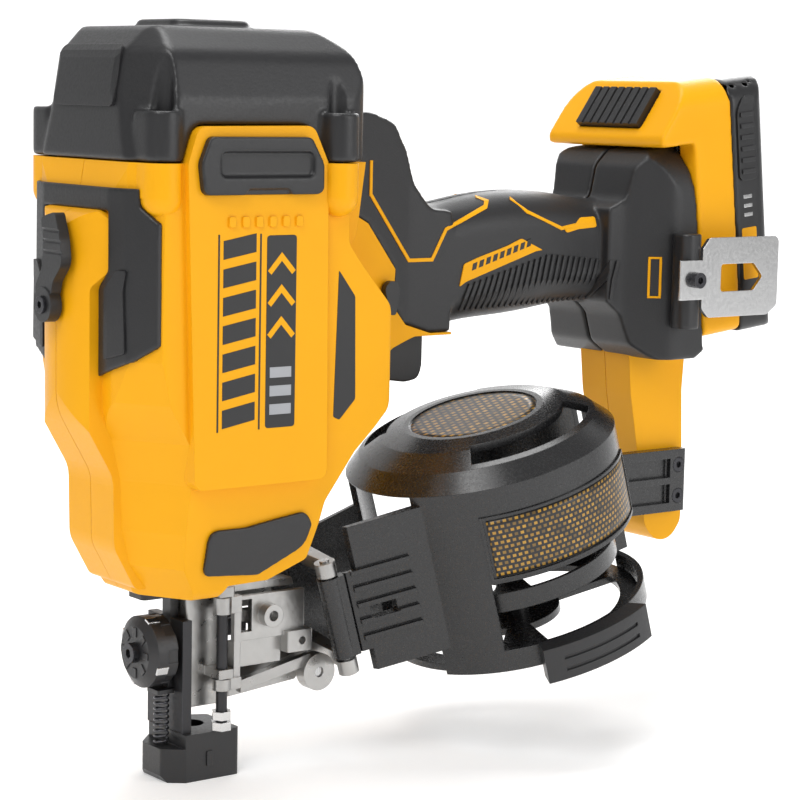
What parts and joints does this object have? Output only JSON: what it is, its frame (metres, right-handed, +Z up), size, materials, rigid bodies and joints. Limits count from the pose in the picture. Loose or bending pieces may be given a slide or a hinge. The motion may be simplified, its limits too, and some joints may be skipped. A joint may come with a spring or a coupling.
{
  "type": "coil roofing nailer",
  "caption": "Cordless coil roofing nailer with a tilted round nail canister, pistol grip, depth dial, contact foot and slide-on battery",
  "frame": {"origin": "centre of the nail exit at the bottom of the contact foot", "axes": "+Z up the drive axis, +X towards the battery, -Y to the tool's left side, where the canister cover opens"},
  "size_m": [0.3538, 0.145, 0.296],
  "materials": {
    "casing_yellow": "satin moulded glass-filled nylon",
    "cap_black": "fine-grained moulded nylon",
    "grip_black": "soft matt overmould",
    "bumper_black": "matt rubber",
    "canister_black": "satin moulded nylon",
    "trigger_black": "satin moulded nylon",
    "dial_black": "fine-grained moulded nylon",
    "cast_alloy": "bead-blasted casting",
    "nose_steel": "tumbled stamped steel",
    "bright_steel": "ground steel",
    "dark_steel": "blackened steel",
    "black_steel": "black phosphate",
    "chrome_plate": "bright plating",
    "spring_steel": "oiled spring wire",
    "screw_black": "black oxide",
    "winding_copper": "lacquered winding",
    "board_green": "potted circuit board",
    "battery_yellow": "satin moulded plastic",
    "battery_black": "satin moulded plastic",
    "cell_sleeve": "shrink sleeve"
  },
  "bodies": {
    "housing": {"left_casing": "casing_yellow", "right_casing": "casing_yellow", "top_cap": "cap_black", "casing_screws": "screw_black", "left_overmould": "grip_black", "right_overmould": "grip_black", "front_bumper": "bumper_black", "side_bumpers": "bumper_black", "lower_bumpers": "bumper_black", "main_frame": "cast_alloy", "rotor_axle": "bright_steel", "motor_stator": "winding_copper", "return_rods": "bright_steel", "return_springs": "spring_steel", "drive_bumper": "bumper_black", "pivot_pins": "bright_steel", "solenoid": "dark_steel", "nose_frame": "nose_steel", "feed_track": "nose_steel", "hinge_pins": "bright_steel", "feed_rod": "bright_steel", "trip_spring": "spring_steel", "dial_carrier": "cap_black", "canister_floor": "canister_black", "cover_hinge_bracket": "nose_steel", "canister_bracket": "canister_black", "mount_screws": "screw_black", "trigger_switch": "cap_black", "controller_board": "board_green", "terminal_block": "cap_black", "battery_rails": "canister_black", "hook_mount": "cap_black", "belt_hook": "chrome_plate"},
    "flywheel": {"flywheel_rotor": "dark_steel", "rotor_bearings": "bright_steel"},
    "driver": {"driver_blade": "bright_steel", "driver_carrier": "dark_steel"},
    "arm": {"roller_arm": "dark_steel"},
    "roller": {"pinch_roller": "bright_steel"},
    "door": {"nose_door": "cast_alloy"},
    "latch": {"door_latch": "nose_steel"},
    "feeder": {"feed_pawl": "dark_steel"},
    "contact_trip": {"contact_foot": "cap_black", "contact_arm": "black_steel", "trip_rod": "black_steel", "rod_nuts": "chrome_plate"},
    "dial": {"depth_dial": "dial_black", "dial_screw": "screw_black"},
    "cover": {"canister_cover": "canister_black", "cover_tab": "bumper_black"},
    "platform": {"nail_platform": "canister_black"},
    "trigger_lever": {"trigger": "trigger_black"},
    "lock": {"lock_lever": "trigger_black"},
    "stall": {"stall_lever": "trigger_black", "stall_screw": "screw_black"},
    "battery": {"battery_upper_case": "battery_yellow", "battery_lower_case": "battery_black", "battery_cells": "cell_sleeve", "battery_screws": "screw_black"},
    "button": {"release_button": "trigger_black"}
  },
  "joints": [
    {"name": "flywheel_spin", "type": "hinge", "parent": "housing", "child": "flywheel", "pos_m": [-0.029, 0, 0.189], "axis": [0, 1, 0], "continuous": true},
    {"name": "driver_stroke", "type": "slide", "parent": "housing", "child": "driver", "axis": [0, 0, -1], "range_m": [0, 0.066], "stiffness_N_per_m": 60, "springref_m": -0.05, "deforming": ["return_springs"]},
    {"name": "arm_swing", "type": "hinge", "parent": "housing", "child": "arm", "pos_m": [0.021, 0, 0.214], "axis": [0, -1, 0], "range_deg": [0, 4], "stiffness_Nm_per_rad": 0.05, "springref_deg": -11.46},
    {"name": "roller_spin", "type": "hinge", "parent": "arm", "child": "roller", "pos_m": [0.0144, 0, 0.189], "axis": [0, 1, 0], "continuous": true},
    {"name": "door_swing", "type": "hinge", "parent": "housing", "child": "door", "pos_m": [0.0042, -0.016, 0.05], "axis": [0, 0, -1], "range_deg": [0, 95]},
    {"name": "latch_press", "type": "hinge", "parent": "housing", "child": "latch", "pos_m": [0.0495, -0.016, 0.037], "axis": [0, -1, 0], "range_deg": [0, 10], "stiffness_Nm_per_rad": 0.05, "springref_deg": -11.46},
    {"name": "feed_slide", "type": "slide", "parent": "housing", "child": "feeder", "axis": [1, 0, 0], "range_m": [0, 0.009], "stiffness_N_per_m": 100, "springref_m": -0.01},
    {"name": "trip_slide", "type": "slide", "parent": "housing", "child": "contact_trip", "axis": [0, 0, 1], "range_m": [0, 0.007], "stiffness_N_per_m": 300, "springref_m": -0.02, "deforming": ["trip_spring"]},
    {"name": "dial_turn", "type": "hinge", "parent": "housing", "child": "dial", "pos_m": [-0.0255, 0, 0.051], "axis": [1, 0, 0], "range_deg": [0, 300]},
    {"name": "cover_swing", "type": "hinge", "parent": "housing", "child": "cover", "pos_m": [0.04951, -0.03, 0.06172], "axis": [0.2756, 0, -0.9613], "range_deg": [0, 80]},
    {"name": "platform_lift", "type": "slide", "parent": "housing", "child": "platform", "axis": [-0.2756, 0, 0.9613], "range_m": [0, 0.016]},
    {"name": "trigger_pull", "type": "hinge", "parent": "housing", "child": "trigger_lever", "pos_m": [0.098, 0, 0.1782], "axis": [0, -1, 0], "range_deg": [0, 10], "stiffness_Nm_per_rad": 0.3, "springref_deg": -11.46},
    {"name": "lock_turn", "type": "hinge", "parent": "housing", "child": "lock", "pos_m": [0.0795, -0.022, 0.1915], "axis": [0, 1, 0], "range_deg": [0, 45]},
    {"name": "stall_turn", "type": "hinge", "parent": "housing", "child": "stall", "pos_m": [-0.064, 0, 0.189], "axis": [1, 0, 0], "range_deg": [0, 40], "stiffness_Nm_per_rad": 0.1, "springref_deg": -11.46},
    {"name": "battery_slide", "type": "slide", "parent": "housing", "child": "battery", "axis": [-0.1132, 0, 0.9936], "range_m": [0, 0.112]},
    {"name": "button_press", "type": "slide", "parent": "battery", "child": "button", "axis": [0.8113, 0, -0.5846], "range_m": [0, 0.0025], "stiffness_N_per_m": 400, "springref_m": -0.004}
  ]
}
